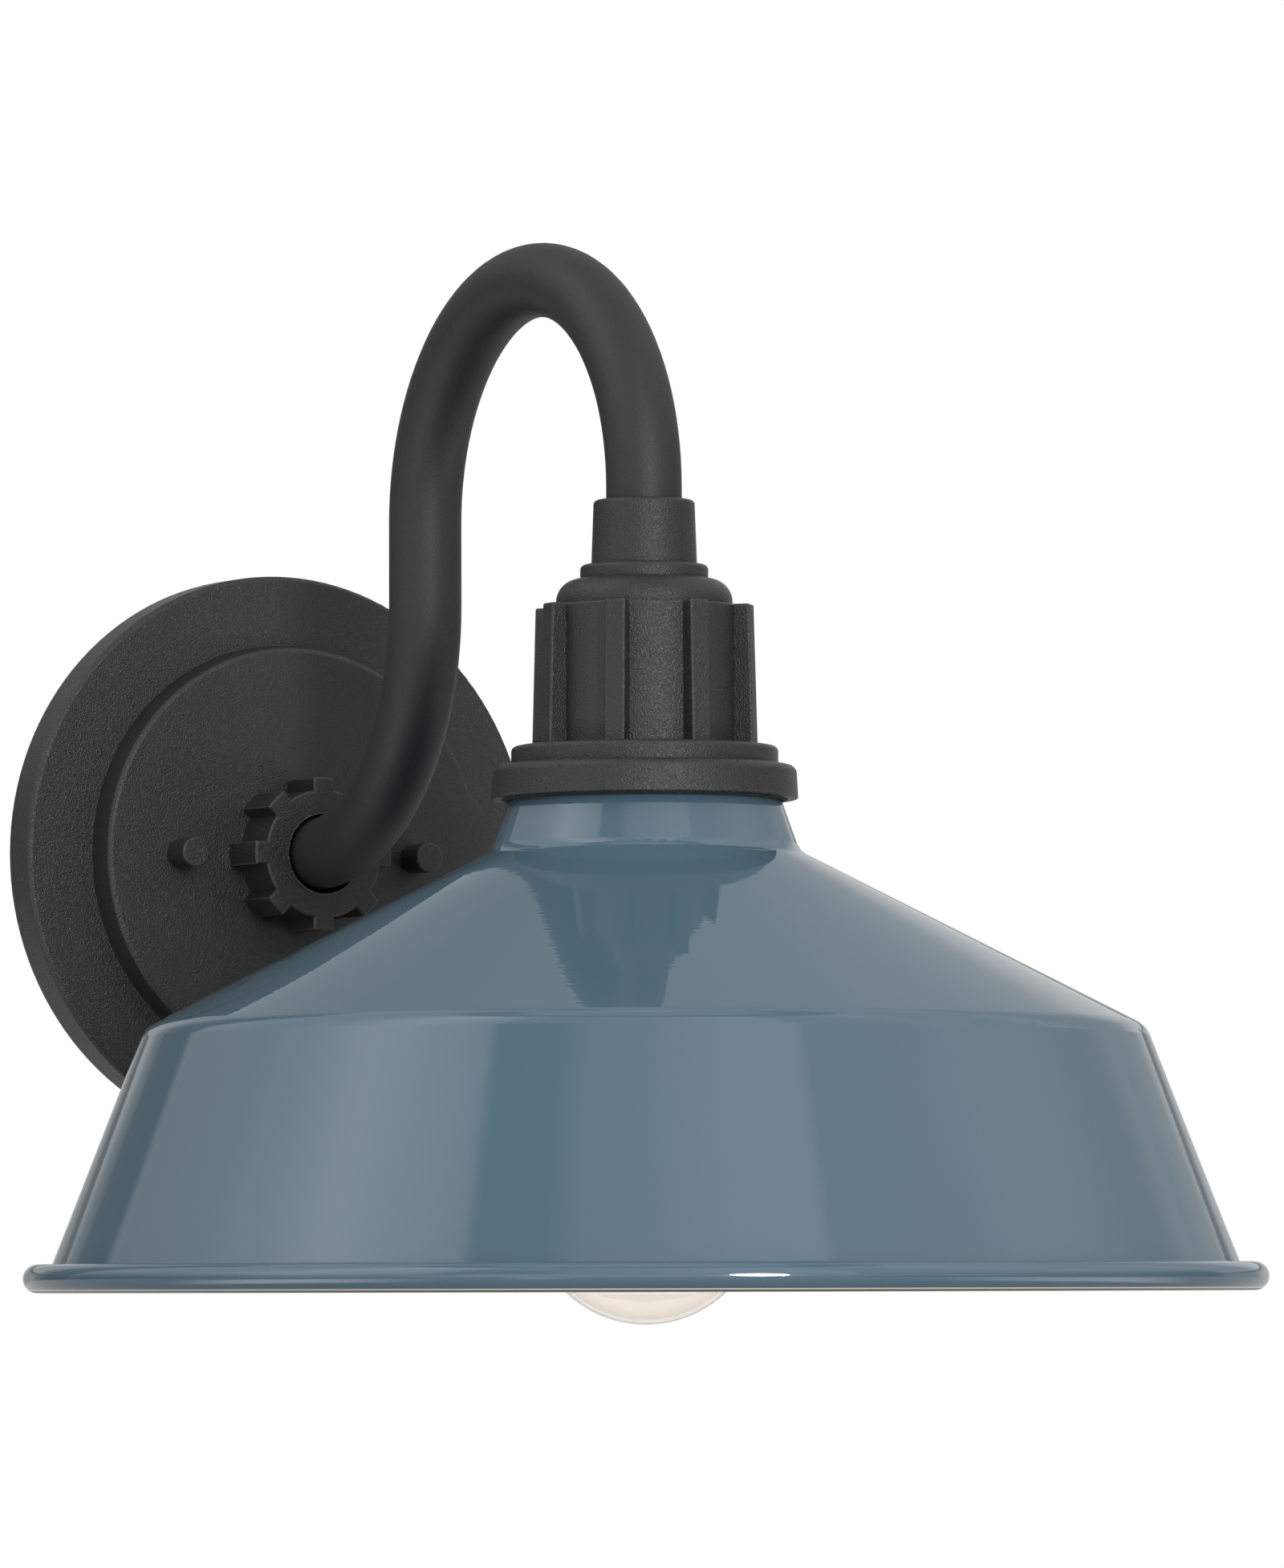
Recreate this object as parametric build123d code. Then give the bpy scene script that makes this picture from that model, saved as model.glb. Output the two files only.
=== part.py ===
from build123d import *
import os
from math import acos, asin, atan, atan2, cos, degrees, hypot, sin

# Gooseneck barn light, in millimetres. The wall is the plane y = 0 and +Z is up.
# The light stands out from the wall along -Y. The origin is the centre of the backplate's back.

# Fits and clearances
thread_play = 0.05        # radial, between a screw, nipple or brazed bush and its mate
hole_play = 0.3           # radial, of a hole round a screw or nipple that passes through
neck_play = 0.1           # radial, of the cap's neck round the arm
shade_neck_play = 0.5     # radial, of the cap's flange round the shade's neck
holder_play = 0.6         # radial, of the lampholder in the cap
lamp_play = 0.2           # radial, of the lamp's base in the screw shell
contact_play = 0.1        # between the lamp's tip and the centre contact
wire_play = 0.2           # between a filament and the end of its wire
screw_head_share = 0.2    # rounding of a screw's head, as a share of its radius

# Backplate
plate_radius = 64.0
plate_flange_depth = 9.6
tier_radius = 47.3
tier_depth = 6.85
tier_draft = 0.8          # growth in radius towards the tier's foot
plate_wall = 3.0
plate_round = 1.2
stud_spacing = 59.2

# Toothed collar at the foot of the arm
collar_teeth = 8
collar_tip_radius = 17.25
collar_root_radius = 14.5
collar_tooth_width = 5.15
collar_depth = 13.3
collar_floor = 2.4
collar_gap = 1.0          # radial, round the arm
collar_edge = 0.4

# Gooseneck arm
reach = 175.0             # from the wall to the shade's axis
first_run = 25.3          # from the wall to the first bend
lower_bend = 52.4
riser = 18.4
drop_run = 2.8            # straight stretch from the top bend to the cap's neck
arm_radius = 8.0
arm_wall = 1.5
bush_length = 6.0

# Nipples, lock washers and locknuts
nipple_radius = 5.0
nipple_bore = 3.2
nipple_end = 1.6          # how far a nipple stands out of its locknut
washer_radius = 7.6
washer_thickness = 0.8
washer_teeth = 12
washer_notch_depth = 1.3
washer_notch_width = 1.5
locknut_flats = 13.0
locknut_height = 4.0

# Mounting strap, studs, nuts and earthing screw
strap_width = 20.0
strap_sheet = 1.6
strap_rise = 4.0
strap_slope = 2.0         # run of the slanted part, along the strap
strap_bend = 2.0
strap_margin = 4.25       # from a slot's end to the end of the strap
slot_margin = 2.2         # from a slot's end to the bend
box_screw_spacing = 88.9
box_slot_length = 9.5
box_slot_radius = 2.3
wire_hole_radius = 6.5
stud_radius = 2.0
stud_head_radius = 3.6
stud_head_height = 2.2
stud_grip = 5.5           # length of stud inside a cap nut
stud_nut_flats = 7.0
stud_nut_height = 3.0
cap_nut_radius = 3.35
cap_nut_height = 8.3
cap_nut_bore_depth = 6.5
cap_nut_edge = 0.4
ground_screw_place = 17.0
ground_screw_radius = 2.0
ground_head_radius = 3.8
ground_head_height = 2.4
ground_screw_tail = 2.2   # below the strap
ground_slot_width = 1.0
ground_slot_depth = 1.1

# Ribbed socket cap
neck_length = 13.7
neck_top_radius = 10.65
neck_low_radius = 11.15
neck_round = 0.9
neck_seat = 11.0          # how far the arm goes into the neck
cap_web = 4.0             # floor between the neck and the inside
cap_bead_radius = 13.5
cap_bead_height = 3.0
cap_bead_round = 1.0
dome_radius = 18.6
dome_height = 5.7
dome_round = 4.8
body_radius = 20.2
body_length = 29.6
rib_count = 8
rib_width = 4.35
rib_top_radius = 23.3
rib_low_radius = 24.1
rib_root = 1.0            # how deep a rib starts inside the body
rib_round = 0.45
step_radius = 28.1
step_height = 4.0
step_round = 1.1
cap_flange_top_radius = 31.9
cap_flange_low_radius = 32.3
cap_flange_height = 7.1
cap_flange_round = 1.8
cap_wall = 2.6
cap_recess = 4.1          # depth of the flange's underside round the shade's neck
cavity_top_radius = 11.0
cavity_top_height = 2.4
cavity_slope = 5.5

# Lampholder and what hangs it in the cap
holder_thread_radius = 19.0
holder_skirt = 13.0       # length of the threaded skirt below the cap's floor
holder_floor = 4.0
holder_round = 1.0
contact_rise = 17.7       # from the cap's floor up to the lamp's tip
contact_sheet = 0.6
contact_length = 15.0
contact_width = 7.0
shell_sheet = 0.5
shell_lip = 3.0           # from the holder's mouth up to the shell
shell_top_gap = 2.0       # from the holder's inner floor down to the shell
stirrup_sheet = 1.5
stirrup_width = 8.0
stirrup_span = 19.0       # outside the two legs
stirrup_foot = 5.5
stirrup_eye_radius = 9.3
stirrup_bend = 2.2
stirrup_screw_radius = 1.5
stirrup_head_radius = 2.3
stirrup_head_height = 1.6
stirrup_screw_depth = 3.0
terminal_width = 5.0
terminal_height = 6.0
terminal_place = 8.5      # from the lamp's axis to a terminal's near face
terminal_screw_radius = 1.25
terminal_head_radius = 2.0
terminal_head_height = 1.5
terminal_screw_depth = 2.0

# Leads
lead_radius = 1.1
lead_offset = 1.4         # from the arm's centre line
lead_bend = 5.0
lead_end = 0.6            # from the wall to the cut ends

# Shade, its gasket and its ring
gasket_thickness = 1.5
gasket_margin = 1.5       # from the gasket's edge to the shade's neck
shade_sheet = 1.2
shade_hole_play = 0.4
shade_neck_top_radius = 27.8
shade_neck_low_radius = 32.56
shade_neck_height = 13.6
shade_neck_round = 2.2
shade_throat_round = 4.0
shoulder_radius = 105.0
shoulder_drop = 50.6      # from the shade's top
shoulder_round = 6.0
rim_radius = 130.3
rim_drop = 102.9          # from the shade's top to the middle of the curled rim
curl_radius = 3.0
curl_angle = 285.0
ring_radius = 25.5
ring_height = 6.0
ring_round = 1.2
ring_notches = 8
ring_notch_width = 4.0
ring_notch_depth = 1.8

# Lamp
lamp_length = 132.0
lamp_base_radius = 13.15
lamp_base_length = 23.0
lamp_base_sheet = 0.4
insulator_height = 2.7
insulator_radius = 11.0
tip_radius = 4.6
tip_height = 1.5
tip_round = 0.75
glass_sheet = 0.8
glass_radius = 31.0
glass_neck_length = 6.0   # straight neck below the base
glass_nose_round = 24.3
glass_side_round = 45.0
glass_throat_share = 0.47 # the throat's share of the curve from neck to belly
glass_seat = 5.0          # how far the glass goes into the base
stem_radius = 5.0
stem_length = 24.0
stem_round = 2.5
stem_flare = 1.6          # thickness of the flare at its edge
stem_throat = 4.8         # from the flare's edge down to the straight part
stem_rod_radius = 1.3
stem_rod_length = 46.0
stem_rod_round = 0.65
filament_count = 4
filament_radius = 1.0
filament_length = 36.0
filament_margin = 3.0     # from the rod's end up to the lower wires
filament_circle = 9.0     # radius at the lower ends
filament_lean = 4.0       # how much nearer to the rod the upper ends are
filament_wire_radius = 0.5
filament_hub_wall = 1.0

# Levels, measured out from the wall
tier_front = plate_flange_depth + tier_depth
plate_back = tier_front - plate_wall
arm_start = tier_front + collar_floor
strap_front = strap_rise + strap_sheet
nut_front = tier_front + cap_nut_height

# Levels, measured up from the middle of the backplate
arm_top = lower_bend + riser
cap_top = arm_top - drop_run
arm_seat = cap_top - neck_seat
web_low = arm_seat - cap_web
cap_bead_top = cap_top - neck_length
dome_top = cap_bead_top - cap_bead_height
body_top = dome_top - dome_height
step_top = body_top - body_length
cap_flange_top = step_top - step_height
cap_low = cap_flange_top - cap_flange_height
cap_floor = cap_low + cap_recess
shade_top = cap_floor - gasket_thickness
ring_top = shade_top - shade_sheet
lamp_tip = cap_floor + contact_rise
holder_ceiling = lamp_tip + contact_play + contact_sheet
holder_top = holder_ceiling + holder_floor
holder_low = cap_floor - holder_skirt
insulator_top = lamp_tip - tip_height
base_top = insulator_top - insulator_height
base_low = base_top - lamp_base_length
lamp_low = lamp_tip - lamp_length
head_washer_top = web_low - stirrup_sheet
head_locknut_top = head_washer_top - washer_thickness
head_nipple_low = head_locknut_top - locknut_height - nipple_end
lead_level = holder_top + terminal_height / 2

# Radii that follow from the sizes above
upper_bend = (reach - first_run - lower_bend) / 2
arm_bore = arm_radius - arm_wall
nipple_hole = nipple_radius + hole_play
shell_inner = lamp_base_radius + lamp_play
shell_outer = shell_inner + shell_sheet
cavity_radius = body_radius - cap_wall
shade_hole = holder_thread_radius + shade_hole_play
shade_neck_slope = (shade_neck_low_radius - shade_neck_top_radius) / shade_neck_height
flange_inner = shade_neck_top_radius + shade_neck_slope * (shade_top - cap_low) + shade_neck_play
neck_glass_radius = lamp_base_radius - lamp_base_sheet - lamp_play


def turned(*corners):
    # solid of revolution about Z from the corners (radius, height, rounding) of its half section
    points = [corner[:2] for corner in corners]
    rounds = [corner[2] if len(corner) > 2 else 0 for corner in corners]
    outline = FilletPolyline(*points, radius=rounds, close=True)
    return revolve(Plane.XZ * make_face(outline), Axis.Z)


def ring(outer, inner, low, high):
    return turned((inner, low), (outer, low), (outer, high), (inner, high))


def rod(radius, low, high):
    return turned((0, low), (radius, low), (radius, high), (0, high))


def sheet(line, thickness, side):
    # face of a bent sheet that lies along one side of a line
    return make_face(offset(line, thickness, side=side))


def hex_nut(flats, bore, low, height):
    outline = RegularPolygon(flats / 2, 6, major_radius=False) - Circle(bore)
    return Pos(0, 0, low) * extrude(outline, height)


def locknut(top):
    return hex_nut(locknut_flats, nipple_radius + thread_play, top - locknut_height, locknut_height)


def headed_screw(radius, head_radius, head_height, seat, tip):
    # screw that stands on its head's underside at the seat, with the head beyond it
    away = 1 if seat > tip else -1
    top = seat + away * head_height
    rim = (head_radius, top, head_radius * screw_head_share)
    return turned((0, tip), (radius, tip), (radius, seat), (head_radius, seat), rim, (0, top))


def lock_washer(low):
    band = Circle(washer_radius) - Circle(nipple_hole)
    notch = Rectangle(washer_notch_depth * 2, washer_notch_width)
    for place in PolarLocations(washer_radius, washer_teeth):
        band -= place * notch
    return Pos(0, 0, low) * extrude(band, washer_thickness)


def on_wall(solid):
    # turns a piece drawn outwards along +Z so that it stands out from the wall along -Y
    return Rot(90, 0, 0) * solid


def on_head(solid):
    # moves a piece drawn about the Z axis to the axis of the shade
    return Pos(0, -reach, 0) * solid


def both_studs(solid):
    return Pos(stud_spacing / 2, 0, 0) * solid + Pos(-stud_spacing / 2, 0, 0) * solid


def backplate():
    flange_back = plate_flange_depth - plate_wall
    plate = turned(
        (plate_radius, 0),
        (plate_radius, plate_flange_depth, plate_round),
        (tier_radius + tier_draft, plate_flange_depth),
        (tier_radius, tier_front, plate_round),
        (nipple_hole, tier_front),
        (nipple_hole, plate_back),
        (tier_radius - plate_wall, plate_back, plate_round),
        (tier_radius - plate_wall, flange_back),
        (plate_radius - plate_wall, flange_back, plate_round),
        (plate_radius - plate_wall, 0),
    )
    return on_wall(plate - both_studs(rod(stud_radius + hole_play, 0, tier_front)))


def toothed_collar():
    tooth = Pos(collar_tip_radius / 2, 0) * Rectangle(collar_tip_radius, collar_tooth_width)
    outline = Circle(collar_root_radius)
    for place in PolarLocations(0, collar_teeth):
        outline += place * tooth
    outline = outline & Circle(collar_tip_radius)
    front = tier_front + collar_depth
    collar = Pos(0, 0, tier_front) * extrude(outline, collar_depth)
    collar = chamfer(collar.faces().sort_by(Axis.Z)[-1].edges(), collar_edge)
    collar -= rod(arm_radius + collar_gap, arm_start, front)
    return on_wall(collar - rod(nipple_hole, tier_front, arm_start))


def mounting_strap():
    foot = (box_screw_spacing - box_slot_length) / 2 - slot_margin
    crest = foot - strap_slope
    end = (box_screw_spacing + box_slot_length) / 2 + strap_margin
    line = FilletPolyline(
        (-end, 0), (-foot, 0), (-crest, strap_rise), (crest, strap_rise), (foot, 0), (end, 0),
        radius=strap_bend,
    )
    strap = extrude(Plane.XZ * sheet(line, strap_sheet, Side.LEFT), strap_width / 2, both=True)
    slot = SlotOverall(box_slot_length, box_slot_radius * 2)
    slots = Pos(box_screw_spacing / 2, 0) * slot + Pos(-box_screw_spacing / 2, 0) * slot
    strap -= extrude(slots, strap_front)
    strap -= rod(wire_hole_radius, 0, strap_front)
    strap -= Pos(ground_screw_place, 0, 0) * rod(ground_screw_radius + thread_play, 0, strap_front)
    return on_wall(strap - both_studs(rod(stud_radius + thread_play, 0, strap_front)))


def mounting_studs():
    tip = tier_front + stud_grip
    stud = headed_screw(stud_radius, stud_head_radius, stud_head_height, strap_rise, tip)
    return on_wall(both_studs(stud))


def stud_locknuts():
    nut = hex_nut(stud_nut_flats, stud_radius + thread_play, strap_front, stud_nut_height)
    return on_wall(both_studs(nut))


def ground_screw():
    tip = strap_rise - ground_screw_tail
    screw = headed_screw(ground_screw_radius, ground_head_radius, ground_head_height, strap_front, tip)
    slot_level = strap_front + ground_head_height - ground_slot_depth / 2
    screw -= Pos(0, 0, slot_level) * Box(ground_head_radius * 2, ground_slot_width, ground_slot_depth)
    return on_wall(Pos(ground_screw_place, 0, 0) * screw)


def cap_nut(side):
    bore = stud_radius + thread_play
    bottom = tier_front + cap_nut_bore_depth
    nut = turned(
        (bore, tier_front),
        (cap_nut_radius, tier_front),
        (cap_nut_radius, nut_front, cap_nut_edge),
        (0, nut_front),
        (0, bottom),
        (bore, bottom),
    )
    return on_wall(Pos(side * stud_spacing / 2, 0, 0) * nut)


def arm_route(start, end, side=0):
    # centre line of the arm, or of a lead beside it: out from the wall, up, over and down
    bend_out = -first_run - lower_bend
    out = Line((side, -start, 0), (side, -first_run, 0))
    up = TangentArc((side, -first_run, 0), (side, bend_out, lower_bend), tangent=(0, -1, 0))
    rise = Line((side, bend_out, lower_bend), (side, bend_out, arm_top))
    over = TangentArc((side, bend_out, arm_top), (side, -reach, arm_top), tangent=(0, 0, 1))
    down = Line((side, -reach, arm_top), (side, -reach, end))
    return [*out.edges(), *up.edges(), *rise.edges(), *over.edges(), *down.edges()]


def gooseneck_arm():
    section = Circle(arm_radius) - Circle(arm_bore)
    foot = Plane(origin=(0, -arm_start, 0), x_dir=(1, 0, 0), z_dir=(0, -1, 0))
    return sweep(foot * section, Wire(arm_route(arm_start, arm_seat)))


def lead(side, terminal):
    # terminal is +1 for the terminal on the wall's side of the lamp, -1 for the far one
    turn_level = lead_level + lead_bend
    turn_end = (side, -reach + terminal * lead_bend, lead_level)
    bend = TangentArc((side, -reach, turn_level), turn_end, tangent=(0, 0, -1))
    last = Line(turn_end, (side, -reach + terminal * terminal_place, lead_level))
    route = Wire([*arm_route(lead_end, turn_level, side), *bend.edges(), *last.edges()])
    foot = Plane(origin=(side, -lead_end, 0), x_dir=(1, 0, 0), z_dir=(0, -1, 0))
    return sweep(foot * Circle(lead_radius), route)


def arm_bush(low):
    return ring(arm_bore - thread_play, nipple_radius + thread_play, low, low + bush_length)


def plate_nipple():
    low = plate_back - washer_thickness - locknut_height - nipple_end
    return on_wall(ring(nipple_radius, nipple_bore, low, arm_start + bush_length))


def ribbed_cap():
    slope_top = web_low - cavity_top_height
    cap = turned(
        (arm_radius + neck_play, cap_top),
        (neck_top_radius, cap_top, neck_round),
        (neck_low_radius, cap_bead_top),
        (cap_bead_radius, cap_bead_top, cap_bead_round),
        (cap_bead_radius, dome_top),
        (dome_radius, dome_top, dome_round),
        (dome_radius, body_top),
        (body_radius, body_top, rib_round),
        (body_radius, step_top),
        (step_radius, step_top, step_round),
        (step_radius, cap_flange_top),
        (cap_flange_top_radius, cap_flange_top, cap_flange_round),
        (cap_flange_low_radius, cap_low, rib_round),
        (flange_inner, cap_low),
        (flange_inner, cap_floor),
        (cavity_radius, cap_floor),
        (cavity_radius, slope_top - cavity_slope),
        (cavity_top_radius, slope_top),
        (cavity_top_radius, web_low),
        (nipple_hole, web_low),
        (nipple_hole, arm_seat),
        (arm_radius + neck_play, arm_seat),
    )
    root = body_radius - rib_root
    outline = Polyline(
        (root, step_top), (rib_low_radius, step_top), (rib_top_radius, body_top), (root, body_top),
        close=True,
    )
    rib = extrude(Plane.XZ * make_face(outline), rib_width / 2, both=True)
    outer_edges = [edge for edge in rib.edges() if edge.center().X > body_radius]
    rib = fillet([edge for edge in outer_edges if edge.center().Z > step_top + rib_round], rib_round)
    for place in PolarLocations(0, rib_count, start_angle=-90):
        cap += place * rib
    return on_head(cap)


def at_feet(solid):
    place = stirrup_span / 2 + stirrup_foot / 2
    return Pos(place, 0, 0) * solid + Pos(-place, 0, 0) * solid


def holder_stirrup():
    leg = stirrup_span / 2 - stirrup_sheet
    foot = leg + stirrup_sheet + stirrup_foot
    line = FilletPolyline(
        (-foot, holder_top), (-leg, holder_top), (-leg, web_low - stirrup_sheet),
        (leg, web_low - stirrup_sheet), (leg, holder_top), (foot, holder_top),
        radius=[stirrup_bend, stirrup_bend - stirrup_sheet, stirrup_bend - stirrup_sheet, stirrup_bend],
    )
    strap = extrude(Plane.XZ * sheet(line, stirrup_sheet, Side.LEFT), stirrup_width / 2, both=True)
    strap += rod(stirrup_eye_radius, web_low - stirrup_sheet, web_low)
    strap -= rod(nipple_hole, web_low - stirrup_sheet, web_low)
    foot_hole = rod(stirrup_screw_radius + hole_play, holder_top, holder_top + stirrup_sheet)
    return on_head(strap - at_feet(foot_hole))


def stirrup_screws():
    seat = holder_top + stirrup_sheet
    tip = holder_top - stirrup_screw_depth
    screw = headed_screw(stirrup_screw_radius, stirrup_head_radius, stirrup_head_height, seat, tip)
    return on_head(at_feet(screw))


def at_terminals(solid):
    place = terminal_place + terminal_width / 2
    return Pos(lead_offset, place, 0) * solid + Pos(-lead_offset, -place, 0) * solid


def lampholder_body():
    bore = shell_outer + thread_play
    body = turned(
        (0, holder_top),
        (cavity_radius - holder_play, holder_top, holder_round),
        (cavity_radius - holder_play, cap_floor),
        (holder_thread_radius, cap_floor),
        (holder_thread_radius, holder_low, holder_round),
        (bore, holder_low),
        (bore, holder_ceiling),
        (0, holder_ceiling),
    )
    screw_hole = rod(stirrup_screw_radius + thread_play, holder_top - stirrup_screw_depth, holder_top)
    return on_head(body - at_feet(screw_hole))


def lampholder_shell():
    return on_head(ring(shell_outer, shell_inner, holder_low + shell_lip, holder_ceiling - shell_top_gap))


def lampholder_contact():
    tab = extrude(SlotOverall(contact_length, contact_width), contact_sheet)
    return on_head(Pos(0, 0, holder_ceiling - contact_sheet) * tab)


def terminal_blocks():
    top = holder_top + terminal_height
    block = Pos(0, 0, lead_level) * Box(terminal_width, terminal_width, terminal_height)
    block -= rod(terminal_screw_radius + thread_play, top - terminal_screw_depth, top)
    return on_head(at_terminals(block))


def terminal_screws():
    seat = holder_top + terminal_height
    tip = seat - terminal_screw_depth
    screw = headed_screw(terminal_screw_radius, terminal_head_radius, terminal_head_height, seat, tip)
    return on_head(at_terminals(screw))


def shade_gasket():
    return on_head(ring(shade_neck_top_radius - gasket_margin, shade_hole, shade_top, cap_floor))


def shade():
    shoulder_level = shade_top - shoulder_drop
    curl = curl_radius - shade_sheet
    curl_out = rim_radius - curl_radius
    curl_level = shade_top - rim_drop
    # the skirt runs down as a tangent to the inside of the curled rim
    away = curl_out - shoulder_radius
    fall = curl_level - shoulder_level
    heading = atan2(fall, away) - asin(curl / hypot(away, fall))
    skirt_end = (curl_out + curl * sin(heading), curl_level - curl * cos(heading))
    wall = FilletPolyline(
        (shade_hole, shade_top),
        (shade_neck_top_radius, shade_top),
        (shade_neck_low_radius, shade_top - shade_neck_height),
        (shoulder_radius, shoulder_level),
        skirt_end,
        radius=[shade_neck_round, shade_throat_round, shoulder_round],
    )
    inside = CenterArc((curl_out, curl_level), curl, degrees(heading) - 90, curl_angle)
    outside = CenterArc((curl_out, curl_level), curl_radius, degrees(heading) - 90, curl_angle)
    roll = make_face([inside, outside, Line(inside @ 0, outside @ 0), Line(inside @ 1, outside @ 1)])
    section = sheet(wall, shade_sheet, Side.RIGHT) + roll
    return on_head(revolve(Plane.XZ * section, Axis.Z))


def shade_ring():
    body = turned(
        (holder_thread_radius + thread_play, ring_top),
        (ring_radius, ring_top),
        (ring_radius, ring_top - ring_height, ring_round),
        (holder_thread_radius + thread_play, ring_top - ring_height),
    )
    notch = Box(ring_notch_depth * 2, ring_notch_width, ring_height)
    for place in PolarLocations(ring_radius, ring_notches):
        body -= Pos(0, 0, ring_top - ring_height / 2) * place * notch
    return on_head(body)


def lamp_glass():
    neck_low = base_low - glass_neck_length
    # the side and nose arcs meet where both have the same slope
    nose_start = acos((glass_side_round - glass_radius) / (glass_side_round - glass_nose_round))
    belly = lamp_low + glass_side_round * sin(nose_start) + glass_nose_round * (1 - sin(nose_start))
    # throat and shoulder make an S that is upright at both ends
    widening = glass_radius - neck_glass_radius
    lean = 2 * atan(widening / (neck_low - belly))
    round_sum = (neck_low - belly) / sin(lean)
    throat_round = round_sum * glass_throat_share
    neck = Line((neck_glass_radius, base_low + glass_seat), (neck_glass_radius, neck_low))
    throat = JernArc(neck @ 1, neck % 1, throat_round, degrees(lean))
    flank = JernArc(throat @ 1, throat % 1, round_sum - throat_round, -degrees(lean))
    side = JernArc(flank @ 1, flank % 1, glass_side_round, -degrees(nose_start))
    nose = JernArc(side @ 1, side % 1, glass_nose_round, degrees(nose_start) - 90)
    line = Wire([*neck.edges(), *throat.edges(), *flank.edges(), *side.edges(), *nose.edges()])
    return on_head(revolve(Plane.XZ * sheet(line, glass_sheet, Side.RIGHT), Axis.Z))


def lamp_base():
    inner = lamp_base_radius - lamp_base_sheet
    lid = base_top - lamp_base_sheet
    return on_head(
        turned(
            (inner, base_low),
            (lamp_base_radius, base_low),
            (lamp_base_radius, base_top, lamp_base_sheet),
            (insulator_radius, base_top),
            (insulator_radius, lid),
            (inner, lid),
        )
    )


def lamp_insulator():
    lid = base_top - lamp_base_sheet
    return on_head(
        turned(
            (0, lid),
            (insulator_radius, lid),
            (insulator_radius, base_top),
            (tip_radius, insulator_top),
            (0, insulator_top),
        )
    )


def lamp_tip_contact():
    rim = (tip_radius, lamp_tip, tip_round)
    return on_head(turned((0, insulator_top), (tip_radius, insulator_top), rim, (0, lamp_tip)))


def lamp_stem():
    # flared tube sealed in the neck, with the rod that carries the filaments
    flare = neck_glass_radius - glass_sheet - lamp_play
    top = base_low + glass_seat
    low = top - stem_length
    return on_head(
        turned(
            (0, top - stem_flare),
            (stem_radius - glass_sheet, top - stem_flare),
            (flare, top),
            (flare, top - stem_flare),
            (stem_radius, top - stem_throat),
            (stem_radius, low, stem_round),
            (stem_rod_radius, low),
            (stem_rod_radius, low - stem_rod_length, stem_rod_round),
            (0, low - stem_rod_length),
        )
    )


def filament_levels():
    low = base_low + glass_seat - stem_length - stem_rod_length + filament_margin
    return low, low + filament_length


def filaments():
    low, high = filament_levels()
    foot = Vector(filament_circle, 0, low)
    head = Vector(filament_circle - filament_lean, 0, high)
    stick = Solid.make_cylinder(filament_radius, (head - foot).length, Plane(foot, z_dir=head - foot))
    return on_head(Part() + [place * stick for place in PolarLocations(0, filament_count)])


def filament_wires():
    # a hub on the rod at each end of the filaments, with a wire out to each of them
    low, high = filament_levels()
    bore = stem_rod_radius + thread_play
    hub_radius = stem_rod_radius + filament_hub_wall
    wire_start = stem_rod_radius + filament_hub_wall / 2
    spiders = Part()
    for level, span in ((low, filament_circle), (high, filament_circle - filament_lean)):
        hub = ring(hub_radius, bore, level - filament_wire_radius, level + filament_wire_radius)
        wire = Plane((wire_start, 0, level), z_dir=(1, 0, 0)) * Circle(filament_wire_radius)
        wire = extrude(wire, span - filament_radius - wire_play - wire_start)
        spiders += hub + [place * wire for place in PolarLocations(0, filament_count)]
    return on_head(spiders)


pieces = {
    "backplate": backplate(),
    "toothed_collar": toothed_collar(),
    "mounting_strap": mounting_strap(),
    "mounting_studs": mounting_studs(),
    "stud_locknuts": stud_locknuts(),
    "ground_screw": ground_screw(),
    "cap_nut_left": cap_nut(-1),
    "cap_nut_right": cap_nut(1),
    "gooseneck_arm": gooseneck_arm(),
    "arm_bush_plate": on_wall(arm_bush(arm_start)),
    "arm_bush_head": on_head(arm_bush(arm_seat)),
    "plate_nipple": plate_nipple(),
    "plate_lock_washer": on_wall(lock_washer(plate_back - washer_thickness)),
    "plate_locknut": on_wall(locknut(plate_back - washer_thickness)),
    "head_nipple": on_head(ring(nipple_radius, nipple_bore, head_nipple_low, arm_seat + bush_length)),
    "head_lock_washer": on_head(lock_washer(head_locknut_top)),
    "head_locknut": on_head(locknut(head_locknut_top)),
    "ribbed_cap": ribbed_cap(),
    "holder_stirrup": holder_stirrup(),
    "stirrup_screws": stirrup_screws(),
    "lampholder_body": lampholder_body(),
    "lampholder_shell": lampholder_shell(),
    "lampholder_contact": lampholder_contact(),
    "terminal_blocks": terminal_blocks(),
    "terminal_screws": terminal_screws(),
    "lead_live": lead(lead_offset, 1),
    "lead_neutral": lead(-lead_offset, -1),
    "shade_gasket": shade_gasket(),
    "shade": shade(),
    "shade_ring": shade_ring(),
    "bulb_glass": lamp_glass(),
    "bulb_base": lamp_base(),
    "bulb_insulator": lamp_insulator(),
    "bulb_tip": lamp_tip_contact(),
    "bulb_stem": lamp_stem(),
    "bulb_filaments": filaments(),
    "filament_wires": filament_wires(),
}

os.makedirs("parts", exist_ok=True)
for name, solid in pieces.items():
    export_step(solid, f"parts/{name}.step")
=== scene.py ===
import bpy
import math
from mathutils import Matrix, Vector


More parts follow.
